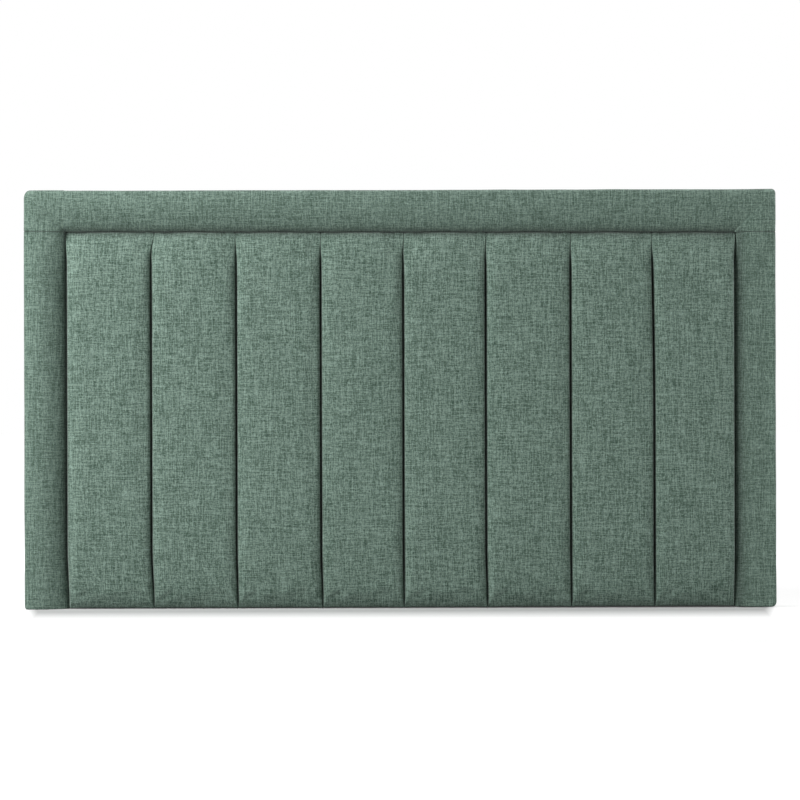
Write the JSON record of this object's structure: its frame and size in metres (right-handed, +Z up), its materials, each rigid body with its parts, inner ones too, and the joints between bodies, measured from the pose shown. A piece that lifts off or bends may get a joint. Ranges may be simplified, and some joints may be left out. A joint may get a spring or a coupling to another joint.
{
  "type": "upholstered headboard",
  "caption": "Free-standing upholstered double-bed headboard with a bolster border and upright sewn channels over a timber frame.",
  "frame": {"origin": "middle of the underside, in the middle of the width and of the depth", "axes": "+Z up, +X to the right seen from the front, front face towards -Y"},
  "size_m": [1.3716, 0.0712, 0.762],
  "materials": {
    "upholstery": "green melange plain weave, matte",
    "foam": "open-cell foam",
    "dust_cloth": "black nonwoven cloth",
    "frame_pine": "planed softwood",
    "plywood": "sanded plywood",
    "batten_plywood": "sanded plywood",
    "zinc_steel": "zinc plated"
  },
  "bodies": {
    "root": {"batten_staples": "zinc_steel", "border_left_batten": "batten_plywood", "border_left_cover": "upholstery", "border_left_foam": "foam", "border_right_batten": "batten_plywood", "border_right_cover": "upholstery", "border_right_foam": "foam", "border_top_batten": "batten_plywood", "border_top_cover": "upholstery", "border_top_foam": "foam", "channel_cover_1": "upholstery", "channel_cover_2": "upholstery", "channel_cover_3": "upholstery", "channel_cover_4": "upholstery", "channel_cover_5": "upholstery", "channel_cover_6": "upholstery", "channel_cover_7": "upholstery", "channel_cover_8": "upholstery", "channel_foam_1": "foam", "channel_foam_2": "foam", "channel_foam_3": "foam", "channel_foam_4": "foam", "channel_foam_5": "foam", "channel_foam_6": "foam", "channel_foam_7": "foam", "channel_foam_8": "foam", "dust_cover": "dust_cloth", "dust_cover_staples": "zinc_steel", "frame_bottom_rail": "frame_pine", "frame_centre_upright": "frame_pine", "frame_left_stile": "frame_pine", "frame_right_stile": "frame_pine", "frame_top_rail": "frame_pine", "front_panel": "plywood", "panel_staples": "zinc_steel", "strut_upright_left": "frame_pine", "strut_upright_right": "frame_pine", "tee_nuts": "zinc_steel"}
  },
  "joints": []
}
